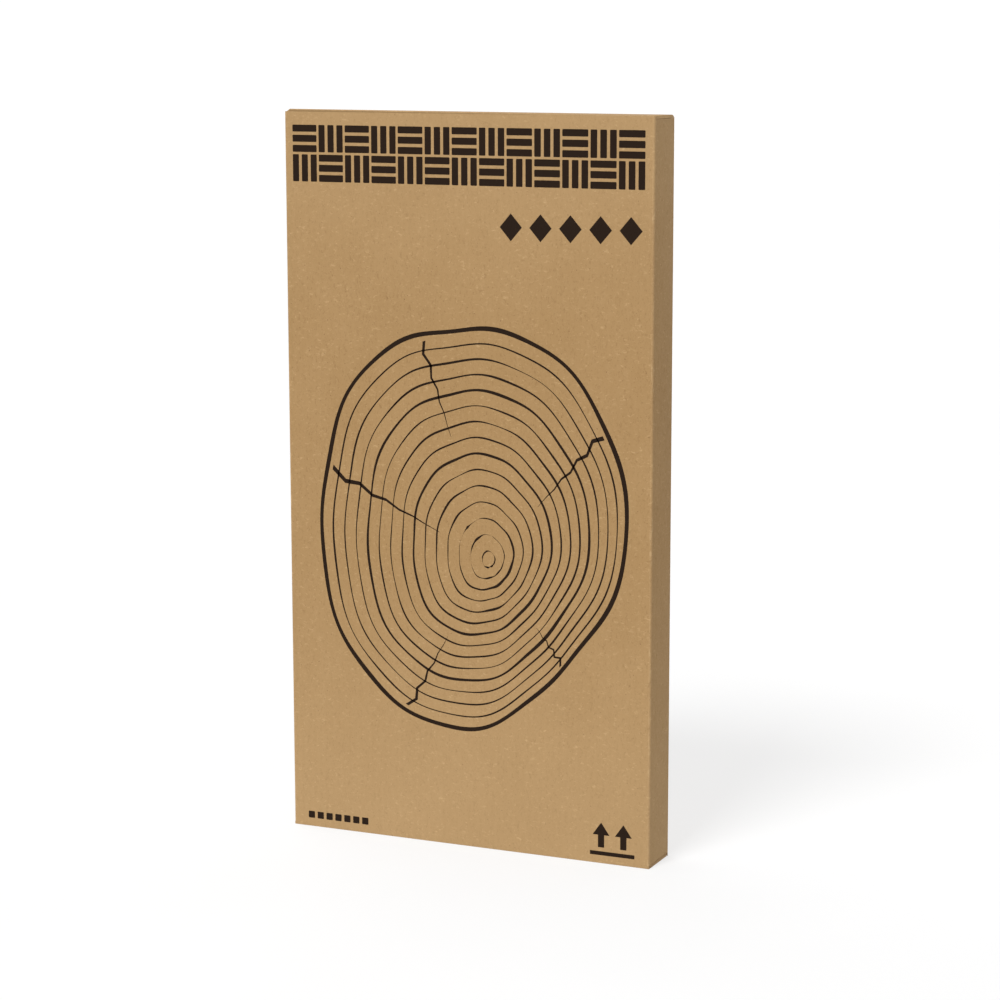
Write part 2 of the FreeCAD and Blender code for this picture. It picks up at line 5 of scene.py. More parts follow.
import bmesh
import bpy
from mathutils import Matrix, Vector, noise
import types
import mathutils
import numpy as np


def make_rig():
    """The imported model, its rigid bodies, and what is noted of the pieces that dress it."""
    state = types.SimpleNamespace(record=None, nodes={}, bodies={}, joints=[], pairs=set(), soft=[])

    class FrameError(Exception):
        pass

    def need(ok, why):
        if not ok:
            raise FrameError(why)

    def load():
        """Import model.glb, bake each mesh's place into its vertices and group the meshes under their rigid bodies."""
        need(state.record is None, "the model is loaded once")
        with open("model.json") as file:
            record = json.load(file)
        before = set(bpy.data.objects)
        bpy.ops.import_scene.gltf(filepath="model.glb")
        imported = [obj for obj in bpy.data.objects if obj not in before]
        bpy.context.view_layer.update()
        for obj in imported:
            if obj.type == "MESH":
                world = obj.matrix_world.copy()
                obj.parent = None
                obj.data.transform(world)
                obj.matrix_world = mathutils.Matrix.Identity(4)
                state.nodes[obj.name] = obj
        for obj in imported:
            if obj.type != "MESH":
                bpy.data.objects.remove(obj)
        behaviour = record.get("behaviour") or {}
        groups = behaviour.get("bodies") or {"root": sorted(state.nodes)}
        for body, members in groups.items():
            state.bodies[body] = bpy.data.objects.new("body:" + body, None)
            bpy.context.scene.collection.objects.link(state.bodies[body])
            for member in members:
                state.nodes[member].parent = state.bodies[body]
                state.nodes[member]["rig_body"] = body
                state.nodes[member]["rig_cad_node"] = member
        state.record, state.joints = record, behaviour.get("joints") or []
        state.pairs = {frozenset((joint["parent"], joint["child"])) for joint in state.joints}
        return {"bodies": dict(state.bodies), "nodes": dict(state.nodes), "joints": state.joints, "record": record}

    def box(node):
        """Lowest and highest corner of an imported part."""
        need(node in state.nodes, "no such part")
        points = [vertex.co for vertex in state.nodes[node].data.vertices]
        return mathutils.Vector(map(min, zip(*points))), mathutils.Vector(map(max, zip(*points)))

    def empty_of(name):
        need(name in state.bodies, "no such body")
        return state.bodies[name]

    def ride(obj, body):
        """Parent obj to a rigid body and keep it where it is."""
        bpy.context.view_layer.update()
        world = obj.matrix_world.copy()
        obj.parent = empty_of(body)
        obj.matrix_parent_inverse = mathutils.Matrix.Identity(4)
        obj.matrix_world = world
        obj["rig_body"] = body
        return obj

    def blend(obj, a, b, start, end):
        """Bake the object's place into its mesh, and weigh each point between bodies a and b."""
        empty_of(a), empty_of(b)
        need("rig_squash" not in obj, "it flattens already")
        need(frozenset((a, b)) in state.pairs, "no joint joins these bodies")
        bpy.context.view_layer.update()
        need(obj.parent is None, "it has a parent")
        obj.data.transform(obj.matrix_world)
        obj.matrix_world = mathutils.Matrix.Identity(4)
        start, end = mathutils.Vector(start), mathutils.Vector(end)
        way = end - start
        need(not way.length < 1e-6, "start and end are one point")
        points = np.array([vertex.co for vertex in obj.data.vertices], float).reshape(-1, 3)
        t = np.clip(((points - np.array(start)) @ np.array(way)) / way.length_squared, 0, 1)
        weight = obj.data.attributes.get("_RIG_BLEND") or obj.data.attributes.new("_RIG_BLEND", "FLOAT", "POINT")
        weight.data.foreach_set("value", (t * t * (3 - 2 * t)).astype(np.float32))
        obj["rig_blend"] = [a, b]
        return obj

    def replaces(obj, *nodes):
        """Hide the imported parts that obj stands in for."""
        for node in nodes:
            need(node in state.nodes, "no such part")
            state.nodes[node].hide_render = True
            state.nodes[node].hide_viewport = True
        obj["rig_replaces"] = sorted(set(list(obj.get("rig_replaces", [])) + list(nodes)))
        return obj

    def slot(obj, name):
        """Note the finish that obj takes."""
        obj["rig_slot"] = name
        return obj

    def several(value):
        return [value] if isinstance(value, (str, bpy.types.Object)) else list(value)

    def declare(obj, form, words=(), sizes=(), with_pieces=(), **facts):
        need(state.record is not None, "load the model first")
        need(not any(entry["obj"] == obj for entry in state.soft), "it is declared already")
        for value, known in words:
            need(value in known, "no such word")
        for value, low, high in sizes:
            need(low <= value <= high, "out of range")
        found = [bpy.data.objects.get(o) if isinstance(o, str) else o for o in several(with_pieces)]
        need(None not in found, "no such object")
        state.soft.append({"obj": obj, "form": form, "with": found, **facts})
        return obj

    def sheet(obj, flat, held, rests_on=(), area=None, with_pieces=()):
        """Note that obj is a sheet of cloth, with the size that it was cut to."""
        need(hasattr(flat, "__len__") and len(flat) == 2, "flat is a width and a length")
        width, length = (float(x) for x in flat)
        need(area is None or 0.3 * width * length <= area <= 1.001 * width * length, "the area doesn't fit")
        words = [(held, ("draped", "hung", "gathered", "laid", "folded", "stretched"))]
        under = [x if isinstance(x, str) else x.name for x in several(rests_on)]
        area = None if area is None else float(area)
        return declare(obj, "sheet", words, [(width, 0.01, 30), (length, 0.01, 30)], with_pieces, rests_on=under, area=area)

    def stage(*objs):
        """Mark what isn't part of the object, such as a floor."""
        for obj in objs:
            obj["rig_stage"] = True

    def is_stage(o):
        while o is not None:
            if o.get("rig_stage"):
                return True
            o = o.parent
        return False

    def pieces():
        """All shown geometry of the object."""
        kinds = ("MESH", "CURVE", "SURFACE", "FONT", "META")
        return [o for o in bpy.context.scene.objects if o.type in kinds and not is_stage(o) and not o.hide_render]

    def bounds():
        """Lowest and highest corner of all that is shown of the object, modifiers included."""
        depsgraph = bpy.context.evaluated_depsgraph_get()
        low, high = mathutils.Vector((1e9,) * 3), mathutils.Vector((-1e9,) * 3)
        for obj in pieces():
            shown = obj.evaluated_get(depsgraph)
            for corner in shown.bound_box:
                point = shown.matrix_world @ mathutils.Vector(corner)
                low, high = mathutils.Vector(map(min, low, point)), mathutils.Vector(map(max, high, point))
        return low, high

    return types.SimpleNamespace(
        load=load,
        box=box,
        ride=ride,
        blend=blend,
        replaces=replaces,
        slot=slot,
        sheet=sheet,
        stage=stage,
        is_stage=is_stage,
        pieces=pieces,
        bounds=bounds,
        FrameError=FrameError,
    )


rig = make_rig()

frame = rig.load()
CAD_LOW, CAD_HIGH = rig.bounds()

MM = 0.001

# The carton, in metres
LEFT, FRONT, BASE = CAD_LOW
RIGHT, BACK, TOP = CAD_HIGH
FRONT_LOW, FRONT_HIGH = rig.box("front_panel")
SIDE_LOW, SIDE_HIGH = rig.box("left_panel")
GLUE_LOW, GLUE_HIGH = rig.box("glue_flap")
CLOSURE_LOW, CLOSURE_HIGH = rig.box("top_closure")
TUCK_LOW, TUCK_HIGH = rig.box("tuck_flap")
BOARD = FRONT_HIGH.y - FRONT_LOW.y

# The board's layers, the waves of its medium, and how far the core lies behind a cut edge
LINER = 0.2 * MM
MEDIUM = 0.16 * MM
FLUTE_PITCH = 2.4 * MM
FLUTE_STEPS = 10
CUT_INSET = 0.05 * MM

# Its folds: radii of panels and of ends, the share of a radius that the layers fill, and where flaps begin
FOLD = 0.8 * MM
END_FOLD = 0.4 * MM
PINCHED = 0.94
CREASE = 1.05 * MM
ROOT = 2 * FOLD
BACK_RETURN = 1.1 * FOLD
ARC_STEPS = 8

# The closure: its sloping left end, how far its front springs up, and the slope of its right end
CORNER = 1.1 * MM
SPRING = 0.8 * MM
END_SLOPE = 0.7

# The front's upper edge, and the cut shapes of the flaps
FRONT_TOP = TOP - 0.1 * MM
GLUE_TAPER = 6 * MM
BOTTOM_TAPER = 3 * MM
DUST_TAPER = 5 * MM
TUCK_ROUND = 6 * MM

# The angle between two faces from which their edge is sharp
SHARP = math.radians(35)


# Shaders


class Graph:
    """The shader tree of one new material, with short calls for the nodes used here."""

    def __init__(self, name):
        self.material = bpy.data.materials.new(name)
        self.material.use_nodes = True
        self.tree = self.material.node_tree
        self.shader = self.tree.nodes["Principled BSDF"]
        self.place = self.tree.nodes.new("ShaderNodeTexCoord").outputs["Object"]

    def put(self, socket, value):
        """Link a socket to another one, or set its value."""
        if isinstance(value, bpy.types.NodeSocket):
            self.tree.links.new(value, socket)
        else:
            socket.default_value = value

    def node(self, kind, inputs, **settings):
        """A node with its settings and inputs; inputs are named by number or by name."""
        made = self.tree.nodes.new(kind)
        for key, value in settings.items():
            setattr(made, key, value)
        for key, value in inputs.items():
            self.put(made.inputs[key], value)
        return made

    def stretch(self, scale):
        """The piece's own coordinates, scaled along each axis."""
        return self.node("ShaderNodeMapping", {"Vector": self.place, "Scale": scale}).outputs[0]

    def noise(self, scale, detail=3.0, roughness=0.55, warp=0.0):
        """Noise over the piece; scale counts waves for each metre along the three axes."""
        inputs = {"Vector": self.stretch(scale), "Scale": 1.0, "Detail": detail}
        inputs.update({"Roughness": roughness, "Distortion": warp})
        return self.node("ShaderNodeTexNoise", inputs).outputs[0]

    def math(self, operation, first, second=0.0):
        """One arithmetic step."""
        return self.node("ShaderNodeMath", {0: first, 1: second}, operation=operation).outputs[0]

    def band(self, value, low, high, start=0.0, end=1.0):
        """A value mapped smoothly from low..high to start..end."""
        inputs = {"Value": value, "From Min": low, "From Max": high, "To Min": start, "To Max": end}
        return self.node("ShaderNodeMapRange", inputs, interpolation_type="SMOOTHSTEP").outputs[0]

    def mix(self, share, first, second, blend="MIX"):
        """Two colours mixed."""
        inputs = {0: share, 6: first, 7: second}
        made = self.node("ShaderNodeMix", inputs, data_type="RGBA", blend_type=blend)
        return made.outputs[2]

    def axes(self):
        """The piece's own x, y and z."""
        return self.node("ShaderNodeSeparateXYZ", {0: self.place}).outputs

    def bump(self, height, strength, distance):
        """A bumped normal for the shader."""
        inputs = {"Height": height, "Strength": strength, "Distance": distance}
        self.put(self.shader.inputs["Normal"], self.node("ShaderNodeBump", inputs).outputs[0])

    def surface(self, colour, roughness, metallic=0.0, **more):
        """The shader's main inputs."""
        self.put(self.shader.inputs["Base Color"], colour)
        self.put(self.shader.inputs["Roughness"], roughness)
        self.put(self.shader.inputs["Metallic"], metallic)
        for key, value in more.items():
            self.put(self.shader.inputs[key.replace("_", " ")], value)


def rgb(red, green, blue):
    """A colour from its 8-bit screen values."""
    linear = []
    for value in (red, green, blue):
        share = value / 255
        linear.append(share / 12.92 if share < 0.04045 else ((share + 0.055) / 1.055) ** 2.4)
    return (*linear, 1.0)


DARK_FIBRE = rgb(112, 80, 46)
PALE_FIBRE = rgb(214, 181, 134)
SPECK = rgb(88, 60, 36)
# A pale tone of worn fibres for the scuffs, also painted on as light towards the carton's two ends
PALE_WEAR_AND_PAINTED_LIGHT = rgb(206, 176, 134)
FLUTE_SHADE = rgb(128, 94, 58)

# Painted light: where the painted lightening starts and is strongest, counted from a level above the carton's base,
# and how strong it is
PAINTED_LIGHT_MIDDLE = 145 * MM
PAINTED_LIGHT_START = 20 * MM
PAINTED_LIGHT_END = 160 * MM
PAINTED_LIGHT_SHARE = 0.22


def kraft(name, light, dark, washboard, wear):
    """Kraft board: fibres, specks, faint clouding, flutes that show through its liner, and worn fibres.

    Light is painted on: the board's colour turns lighter from its middle towards its two ends.
    """
    g = Graph(name)
    clouds = g.noise((45, 45, 32), detail=4.0)
    colour = g.mix(g.band(clouds, 0.3, 0.7), light, dark)
    fibres = g.noise((1350, 1350, 700), detail=3.0, roughness=0.6, warp=1.2)
    colour = g.mix(g.band(fibres, 0.5, 0.75, 0.0, 0.31), colour, DARK_FIBRE)
    pale = g.noise((700, 700, 1250), detail=3.0, roughness=0.55, warp=0.8)
    colour = g.mix(g.band(pale, 0.55, 0.78, 0.0, 0.35), colour, PALE_FIBRE)
    specks = g.noise((1500, 1500, 1500), detail=1.0, roughness=0.4)
    colour = g.mix(g.band(specks, 0.72, 0.8, 0.0, 0.6), colour, SPECK)
    scuffs = g.noise((420, 420, 160), detail=4.0, roughness=0.7, warp=0.6)
    colour = g.mix(g.band(scuffs, 0.5, 0.72, 0.0, wear), colour, PALE_WEAR_AND_PAINTED_LIGHT)
    # Painted light: the board turns lighter away from a level near its middle, towards its top and bottom
    from_middle = g.math("ABSOLUTE", g.math("SUBTRACT", g.axes()[2], BASE + PAINTED_LIGHT_MIDDLE))
    painted_light = g.band(from_middle, PAINTED_LIGHT_START, PAINTED_LIGHT_END, 0.0, PAINTED_LIGHT_SHARE)
    colour = g.mix(painted_light, colour, PALE_WEAR_AND_PAINTED_LIGHT)
    flutes = g.math("SINE", g.math("MULTIPLY", g.axes()[0], math.tau / FLUTE_PITCH))
    colour = g.mix(g.band(flutes, -1.0, 1.0, 0.0, 0.05 * washboard), colour, FLUTE_SHADE)
    height = g.math("ADD", g.math("MULTIPLY", flutes, 0.35 * washboard), g.math("MULTIPLY", fibres, 0.9))
    g.surface(colour, g.band(fibres, 0.3, 0.7, 0.68, 0.86), Specular_IOR_Level=0.12)
    g.bump(height, strength=0.35, distance=0.05 * MM)
    return g.material


def ink_material():
    """Flat black print, a little worn where the liner's fibres stand up."""
    g = Graph("print_ink")
    wear = g.noise((2400, 2400, 1400), detail=4.0, roughness=0.6, warp=0.8)
    colour = g.mix(g.band(wear, 0.58, 0.85, 0.0, 0.3), rgb(33, 19, 7), rgb(90, 64, 36))
    g.surface(colour, g.band(wear, 0.3, 0.7, 0.6, 0.8), Specular_IOR_Level=0.15)
    g.bump(wear, strength=0.2, distance=0.03 * MM)
    return g.material


STRIP_WIDTH = 6.5 * MM
KNUCKLE_SPACING = 110 * MM


def bamboo_material():
    """Laminated bamboo: strips of their own tone along the length, glue lines, knuckles and fine grain."""
    g = Graph("bamboo")
    x, y, z = g.axes()
    across = g.math("DIVIDE", x, STRIP_WIDTH)
    strip = g.math("FLOOR", across)
    chance = g.node("ShaderNodeTexWhiteNoise", {"W": strip}, noise_dimensions="1D").outputs[0]
    colour = g.mix(chance, rgb(226, 189, 132), rgb(206, 161, 101))
    grain = g.noise((1700, 1700, 26), detail=5.0, roughness=0.62, warp=0.15)
    colour = g.mix(g.band(grain, 0.45, 0.72, 0.0, 0.55), colour, rgb(164, 113, 60))
    pores = g.noise((5200, 5200, 130), detail=2.0, roughness=0.5)
    colour = g.mix(g.band(pores, 0.62, 0.75, 0.0, 0.5), colour, rgb(128, 83, 42))
    along = g.math("ADD", g.math("DIVIDE", z, KNUCKLE_SPACING), g.math("MULTIPLY", chance, 5.0))
    along = g.math("ADD", along, g.math("MULTIPLY", g.noise((260, 260, 260), detail=2.0), 0.03))
    off = g.math("ABSOLUTE", g.math("SUBTRACT", g.math("FRACT", along), 0.5))
    knuckle = g.math("MULTIPLY", g.band(off, 0.004, 0.024, 1.0, 0.0), g.band(chance, 0.0, 1.0, 0.25, 0.65))
    colour = g.mix(knuckle, colour, rgb(150, 98, 50))
    edge = g.math("ABSOLUTE", g.math("SUBTRACT", g.math("FRACT", across), 0.5))
    glue = g.band(edge, 0.478, 0.497)
    colour = g.mix(g.math("MULTIPLY", glue, 0.55), colour, rgb(140, 94, 50))
    g.surface(colour, g.band(grain, 0.35, 0.7, 0.36, 0.52), Coat_Weight=0.12, Coat_Roughness=0.35)
    height = g.math("SUBTRACT", g.math("MULTIPLY", grain, 0.6), g.math("ADD", pores, glue))
    g.bump(height, strength=0.22, distance=0.08 * MM)
    return g.material


def felt_material():
    """Pressed felt: a mat of fine light and dark fibres."""
    g = Graph("felt")
    clumps = g.noise((420, 420, 420), detail=4.0, roughness=0.6)
    fibres = g.noise((3400, 1200, 1500), detail=5.0, roughness=0.7, warp=2.5)
    crossing = g.noise((1300, 1200, 3600), detail=5.0, roughness=0.7, warp=2.5)
    colour = g.mix(g.band(clumps, 0.35, 0.65), rgb(156, 151, 144), rgb(144, 139, 132))
    colour = g.mix(g.band(fibres, 0.5, 0.72, 0.0, 0.6), colour, rgb(196, 192, 186))
    colour = g.mix(g.band(crossing, 0.52, 0.74, 0.0, 0.6), colour, rgb(104, 100, 94))
    g.surface(colour, roughness=0.95, Specular_IOR_Level=0.15, Sheen_Weight=0.35, Sheen_Roughness=0.5)
    g.bump(g.math("ADD", fibres, crossing), strength=0.6, distance=0.25 * MM)
    return g.material


MOULD_SPREAD = 0.08
METAL_SMOOTHER = 0.1
METAL_ROUGHER = 0.12


def moulded_material(name, light, dark, grain, roughness):
    """Moulded plastic or rubber with a fine spark-eroded grain."""
    g = Graph(name)
    fine = g.noise((grain, grain, grain), detail=3.0, roughness=0.6)
    broad = g.noise((60, 60, 60), detail=3.0)
    colour = g.mix(g.band(broad, 0.3, 0.7), light, dark)
    g.surface(colour, g.band(fine, 0.3, 0.7, roughness - MOULD_SPREAD, roughness + MOULD_SPREAD))
    g.bump(fine, strength=0.25, distance=0.06 * MM)
    return g.material


def metal_material(name, light, dark, scale, roughness):
    """Drawn or turned metal with fine scratches one way."""
    g = Graph(name)
    streaks = g.noise(scale, detail=4.0, roughness=0.6)
    colour = g.mix(g.band(streaks, 0.3, 0.7), light, dark)
    uneven = g.band(streaks, 0.3, 0.7, roughness - METAL_SMOOTHER, roughness + METAL_ROUGHER)
    g.surface(colour, uneven, metallic=1.0)
    g.bump(streaks, strength=0.15, distance=0.04 * MM)
    return g.material


WIRE_PITCH = 1.0 * MM


def copper_material(middle):
    """Enamelled copper wire wound in a flat spiral about the coil's middle, with painted shade between the turns and a
    painted highlight on each turn.
    """
    g = Graph("copper")
    inputs = {0: g.place, 1: tuple(middle)}
    away = g.node("ShaderNodeVectorMath", inputs, operation="SUBTRACT").outputs[0]
    flat = g.node("ShaderNodeVectorMath", {0: away, 1: (1.0, 0.0, 1.0)}, operation="MULTIPLY").outputs[0]
    radius = g.node("ShaderNodeVectorMath", {0: flat}, operation="LENGTH").outputs["Value"]
    turns = g.math("SINE", g.math("MULTIPLY", radius, math.tau / WIRE_PITCH))
    tint = g.noise((300, 300, 300), detail=3.0)
    # Painted shade and highlight: darker copper in the grooves between turns, brighter on each turn's crown
    colour = g.mix(g.band(turns, -1.0, 1.0), rgb(120, 58, 28), rgb(206, 120, 66))
    colour = g.mix(g.band(tint, 0.3, 0.7, 0.0, 0.3), colour, rgb(176, 92, 44))
    g.surface(colour, roughness=0.3, metallic=0.9, Coat_Weight=0.4)
    g.bump(turns, strength=0.8, distance=0.3 * MM)
    return g.material


def circuit_material():
    """Green solder mask over tracks, with small bright pads."""
    g = Graph("circuit_board")
    flat = g.node("ShaderNodeCombineXYZ", {"X": g.axes()[0], "Y": g.axes()[2]}).outputs[0]
    inputs = {"Vector": flat, "Scale": 260.0, "Color1": (0, 0, 0, 1), "Color2": (0, 0, 0, 1)}
    inputs.update({"Mortar": (1, 1, 1, 1), "Mortar Size": 0.05, "Brick Width": 1.4, "Row Height": 0.45})
    tracks = g.node("ShaderNodeTexBrick", inputs).outputs["Color"]
    mottle = g.noise((700, 700, 700), detail=3.0)
    colour = g.mix(g.band(mottle, 0.3, 0.7), rgb(18, 84, 52), rgb(12, 66, 42))
    colour = g.mix(tracks, colour, rgb(44, 128, 78))
    spots = g.node("ShaderNodeTexVoronoi", {"Vector": flat, "Scale": 240.0}).outputs["Distance"]
    pads = g.band(spots, 0.1, 0.16, 1.0, 0.0)
    colour = g.mix(pads, colour, rgb(214, 210, 196))
    g.surface(colour, roughness=0.32)
    g.bump(g.math("ADD", tracks, pads), strength=0.2, distance=0.05 * MM)
    return g.material


FLOOR_LIGHT = (0.27, 0.27, 0.27, 1.0)
FLOOR_DARK = (0.26, 0.26, 0.26, 1.0)
FLOOR_GLOW = 0.69
WHITE = (1.0, 1.0, 1.0, 1.0)


def floor_material():
    """A matt white light table, so that shadows on it stay pale."""
    g = Graph("studio_white")
    tone = g.noise((6, 6, 6), detail=3.0)
    colour = g.mix(g.band(tone, 0.3, 0.7), FLOOR_LIGHT, FLOOR_DARK)
    g.surface(colour, roughness=0.9, Specular_IOR_Level=0.0, Emission_Color=WHITE,
              Emission_Strength=FLOOR_GLOW)
    return g.material


OUTER = kraft("kraft_outside", rgb(168, 135, 92), rgb(164, 131, 88), washboard=0.4, wear=0.06)
CORE = kraft("kraft_medium", rgb(172, 139, 96), rgb(156, 124, 84), washboard=0.0, wear=0.0)
# The bends: scuffs of real wear, and a paler tone that is a painted highlight along each fold
FOLD_WEAR_AND_HIGHLIGHT = kraft("kraft_fold", rgb(174, 141, 98), rgb(165, 132, 91), washboard=0.0, wear=0.4)
INK = ink_material()
BURNT = moulded_material("burnt_mark", rgb(84, 50, 26), rgb(60, 34, 18), grain=2600, roughness=0.6)

# The numbers of a board piece's materials
FACE_KIND = 0
CORE_KIND = 1
FOLD_KIND = 2


# Meshes


class Shape:
    """Corners and faces gathered for one piece, each face with the number of its material."""

    def __init__(self):
        self.corners = []
        self.faces = []
        self.kinds = []

    def add(self, corners, faces, kinds=FACE_KIND):
        """Add one closed part, with one kind of face or a kind for each face."""
        first = len(self.corners)
        self.corners += corners
        self.faces += [[first + i for i in face] for face in faces]
        self.kinds += [kinds] * len(faces) if isinstance(kinds, int) else kinds

    def piece(self, name, materials):
        """Make the object, with its normals outwards and its rounded faces smooth."""
        mesh = bpy.data.meshes.new(name)
        mesh.from_pydata(self.corners, [], self.faces)
        for material in materials:
            mesh.materials.append(material)
        mesh.polygons.foreach_set("material_index", self.kinds)
        work = bmesh.new()
        work.from_mesh(mesh)
        bmesh.ops.recalc_face_normals(work, faces=work.faces)
        work.to_mesh(mesh)
        work.free()
        mesh.shade_smooth()
        mesh.set_sharp_from_angle(angle=SHARP)
        made = bpy.data.objects.new(name, mesh)
        bpy.context.scene.collection.objects.link(made)
        return made


def in_plan(u, v, w):
    """A profile seen from above, drawn out along Z."""
    return (u, v, w)


def in_front(u, v, w):
    """A profile seen from the front, drawn out along Y."""
    return (u, w, v)


def in_side(u, v, w):
    """A profile seen from the side, drawn out along X."""
    return (w, u, v)


def rounded(points, radius, turn):
    """Sample a line with rounded corners; turn is 1 where the inside is on the left.

    A sample is a point, its inward normal, and the number of its bend, which is 0 on a straight run.
    """
    points = [Vector(p) for p in points]
    samples = []
    for i, point in enumerate(points):
        before = (point - points[i - 1]).normalized() if i else None
        after = (points[i + 1] - point).normalized() if i + 1 < len(points) else None
        if before is None or after is None:
            along = after or before
            samples.append((point, turn * Vector((-along.y, along.x)), 0))
            continue
        first = turn * Vector((-before.y, before.x))
        last = turn * Vector((-after.y, after.x))
        half = math.acos(max(-1.0, min(1.0, before.dot(after)))) / 2
        centre = point - before * radius * math.tan(half) + first * radius
        for k in range(ARC_STEPS + 1):
            normal = first.slerp(last, k / ARC_STEPS)
            samples.append((centre - normal * radius, normal, i))
    return samples


def spaced(samples, step):
    """Sample the same line again at even steps."""
    lengths = [0.0]
    for one, other in zip(samples, samples[1:]):
        lengths.append(lengths[-1] + (other[0] - one[0]).length)
    count = max(2, round(lengths[-1] / step))
    even = []
    k = 0
    for i in range(count + 1):
        want = lengths[-1] * i / count
        while k < len(samples) - 2 and lengths[k + 1] < want:
            k += 1
        span = lengths[k + 1] - lengths[k]
        share = (want - lengths[k]) / span if span > 0 else 0.0
        point = samples[k][0].lerp(samples[k + 1][0], share)
        normal = samples[k][1].lerp(samples[k + 1][1], share).normalized()
        even.append((point, normal, want))
    return even


def ribbon(shape, pairs, place, low, high, kind):
    """Add a closed strip between pairs of profile points, drawn out from low to high."""
    corners = []
    for near, far, _ in pairs:
        corners += [place(*near, low), place(*near, high), place(*far, high), place(*far, low)]
    faces = [[0, 1, 2, 3]]
    kinds = [kind]
    for i in range(len(pairs) - 1):
        bend = pairs[i][2]
        in_bend = bend > 0 and pairs[i + 1][2] == bend
        for k in range(4):
            n = (k + 1) % 4
            faces.append([4 * i + k, 4 * i + n, 4 * i + 4 + n, 4 * i + 4 + k])
            kinds.append(FOLD_KIND if in_bend else kind)
    last = len(corners) - 4
    faces.append([last + 3, last + 2, last + 1, last])
    shape.add(corners, faces, kinds + [kind])


def layer(samples, radius, near, far):
    """The profile points of one layer of board, between two depths, pinched together in the bends."""
    pairs = []
    for point, normal, bend in samples:
        limit = PINCHED * radius if bend else BOARD
        pairs.append((point + normal * min(near, limit - LINER / 2), point + normal * min(far, limit), bend))
    return pairs


def add_board(shape, points, turn, place, low, high, fluted, radius=FOLD):
    """Add corrugated board along a folded line: two liners, and a waved medium or a plain core."""
    samples = rounded(points, radius, turn)
    ribbon(shape, layer(samples, radius, 0.0, LINER), place, low, high, FACE_KIND)
    ribbon(shape, layer(samples, radius, BOARD - LINER, BOARD), place, low, high, FACE_KIND)
    if not fluted:
        core = [(near, far, 0) for near, far, _ in layer(samples, radius, LINER, BOARD - LINER)]
        ribbon(shape, core, place, low + CUT_INSET, high - CUT_INSET, CORE_KIND)
        return
    rise = (BOARD - 2 * LINER - MEDIUM) / 2
    pairs = []
    for point, normal, along in spaced(samples, FLUTE_PITCH / FLUTE_STEPS):
        depth = BOARD / 2 + rise * math.sin(math.tau * along / FLUTE_PITCH)
        near, far = depth - MEDIUM / 2, depth + MEDIUM / 2
        pairs.append((point + normal * near, point + normal * far, 0))
    ribbon(shape, pairs, place, low, high, CORE_KIND)


def add_plate(shape, outline, place, near, far, kind=FACE_KIND):
    """Add a flat plate of any outline between two levels."""
    count = len(outline)
    corners = [place(u, v, near) for u, v in outline] + [place(u, v, far) for u, v in outline]
    faces = [list(range(count)), list(range(2 * count - 1, count - 1, -1))]
    for i in range(count):
        n = (i + 1) % count
        faces.append([i, n, count + n, count + i])
    shape.add(corners, faces, kind)


def add_flap(shape, outline, place):
    """Add a flat flap of board: two liners, and a core that stops just short of their cut edges."""
    middle = sum((Vector(p) for p in outline), Vector((0.0, 0.0))) / len(outline)
    core = [Vector(p) + (middle - Vector(p)).normalized() * CUT_INSET for p in outline]
    add_plate(shape, outline, place, 0.0, LINER)
    add_plate(shape, core, place, LINER, BOARD - LINER, CORE_KIND)
    add_plate(shape, outline, place, BOARD - LINER, BOARD)


def round_rectangle(low, high, radius, steps=ARC_STEPS):
    """The outline of a rectangle with rounded corners."""
    outline = []
    centres = [(high[0] - radius, high[1] - radius), (low[0] + radius, high[1] - radius)]
    centres += [(low[0] + radius, low[1] + radius), (high[0] - radius, low[1] + radius)]
    for quarter, (u, v) in enumerate(centres):
        for k in range(steps + 1):
            angle = math.pi / 2 * (quarter + k / steps)
            outline.append((u + radius * math.cos(angle), v + radius * math.sin(angle)))
    return outline


# The carton


def board_piece(name, shape, body, nodes):
    """Finish one piece of the carton in place of its CAD nodes."""
    made = shape.piece(name, [OUTER, CORE, FOLD_WEAR_AND_HIGHLIGHT])
    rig.ride(made, body)
    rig.replaces(made, *nodes)
    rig.slot(made, "kraft_board")


def tube():
    """The front, the back and the sides in one folded strip, with the glue flap inside the back."""
    shape = Shape()
    glue = BACK - BOARD
    bottom_low, bottom_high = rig.box("bottom_left_flap")
    dust_low, dust_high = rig.box("dust_flap_left")
    low, high = SIDE_LOW.z + FOLD, SIDE_HIGH.z - CREASE
    around = [(LEFT + ROOT, glue), (LEFT, glue), (LEFT, FRONT), (RIGHT, FRONT), (RIGHT, BACK),
              (LEFT, BACK)]
    add_board(shape, around, 1, in_plan, low, high, False)
    for start, stop, near, far, fluted in ((SIDE_LOW.z, low, bottom_low.y, bottom_high.y, False),
                                           (high, SIDE_HIGH.z, dust_low.y, dust_high.y, True)):
        front = [(LEFT, near), (LEFT, FRONT), (RIGHT, FRONT), (RIGHT, near)]
        back = [(RIGHT, far), (RIGHT, BACK), (LEFT, BACK)]
        add_board(shape, front, 1, in_plan, start, stop, fluted)
        add_board(shape, back, 1, in_plan, start, min(stop, TOP - CREASE), fluted)
    inside = FRONT + ROOT
    front_edge = [(LEFT, inside), (LEFT, FRONT), (RIGHT, FRONT), (RIGHT, inside)]
    add_board(shape, front_edge, 1, in_plan, SIDE_HIGH.z, FRONT_TOP, True)
    back_edge = [(RIGHT, BACK - BACK_RETURN), (RIGHT, BACK), (LEFT, BACK)]
    add_board(shape, back_edge, 1, in_plan, BASE, SIDE_LOW.z, True)

    def glued(u, v, w):
        return (u, glue - w, v)

    flap = [(LEFT + ROOT, GLUE_LOW.z), (GLUE_HIGH.x, GLUE_LOW.z + GLUE_TAPER),
            (GLUE_HIGH.x, GLUE_HIGH.z - GLUE_TAPER), (LEFT + ROOT, GLUE_HIGH.z)]
    add_flap(shape, flap, glued)
    nodes = ["front_panel", "back_panel", "left_panel", "right_panel", "glue_flap"]
    board_piece("carton_tube", shape, "carton", nodes)


